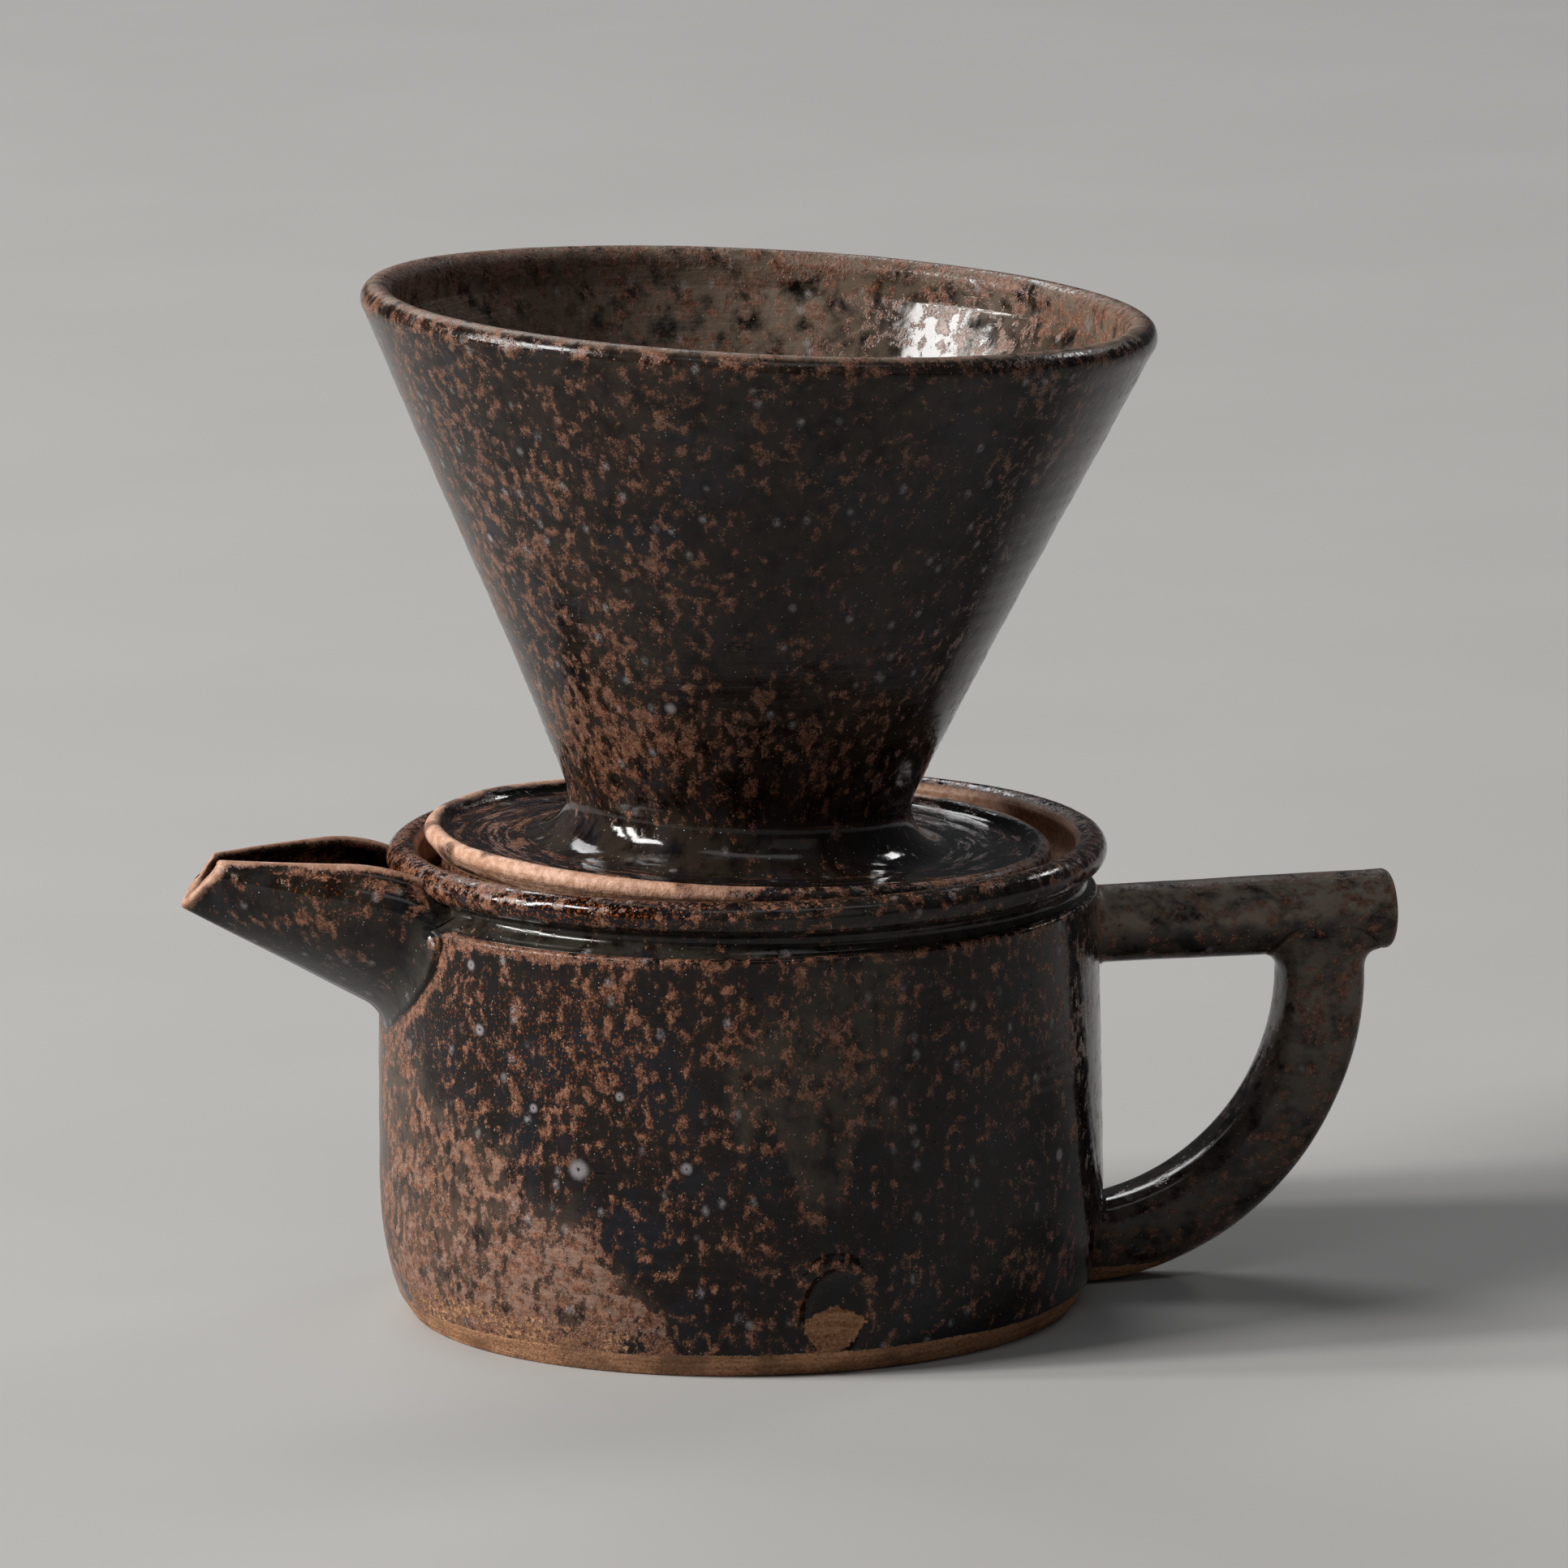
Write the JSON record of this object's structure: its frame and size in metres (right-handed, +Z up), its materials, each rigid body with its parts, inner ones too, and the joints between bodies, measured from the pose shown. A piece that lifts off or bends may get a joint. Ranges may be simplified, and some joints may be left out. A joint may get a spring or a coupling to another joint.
{
  "type": "pour-over coffee dripper and server pot",
  "caption": "Hand-thrown stoneware coffee set: a cone dripper with a saucer sits in the mouth of a spouted server pot with a bar and arm handle.",
  "frame": {"origin": "centre of the pot's base, on the table", "axes": "+Z up the pot's axis, +X from the pot towards the handle, so the spout points along -X"},
  "size_m": [0.187, 0.1196, 0.1564],
  "materials": {
    "dark_glaze": "glossy black-brown glaze mottled with rust",
    "lip_glaze": "glossy brown glaze, thin and rust-coloured over the bead",
    "handle_glaze": "satin grey-brown glaze with rust blotches",
    "cone_glaze": "glossy black-brown glaze mottled with rust",
    "saucer_glaze": "mirror-glossy black dish with a matt tan rim",
    "bare_clay": "matt unglazed sandy stoneware"
  },
  "bodies": {
    "pot": {"pot_wall": "dark_glaze", "pot_floor": "dark_glaze", "pot_collar": "lip_glaze", "pot_ledge": "bare_clay", "spout": "dark_glaze", "handle_bar": "handle_glaze", "handle_arm": "handle_glaze"},
    "dripper": {"dripper_cone": "cone_glaze", "dripper_saucer": "saucer_glaze", "dripper_seat_ring": "bare_clay"}
  },
  "joints": [
    {"name": "dripper_lift", "type": "slide", "parent": "pot", "child": "dripper", "axis": [0, 0, 1], "range_m": [0, 0.08]}
  ]
}
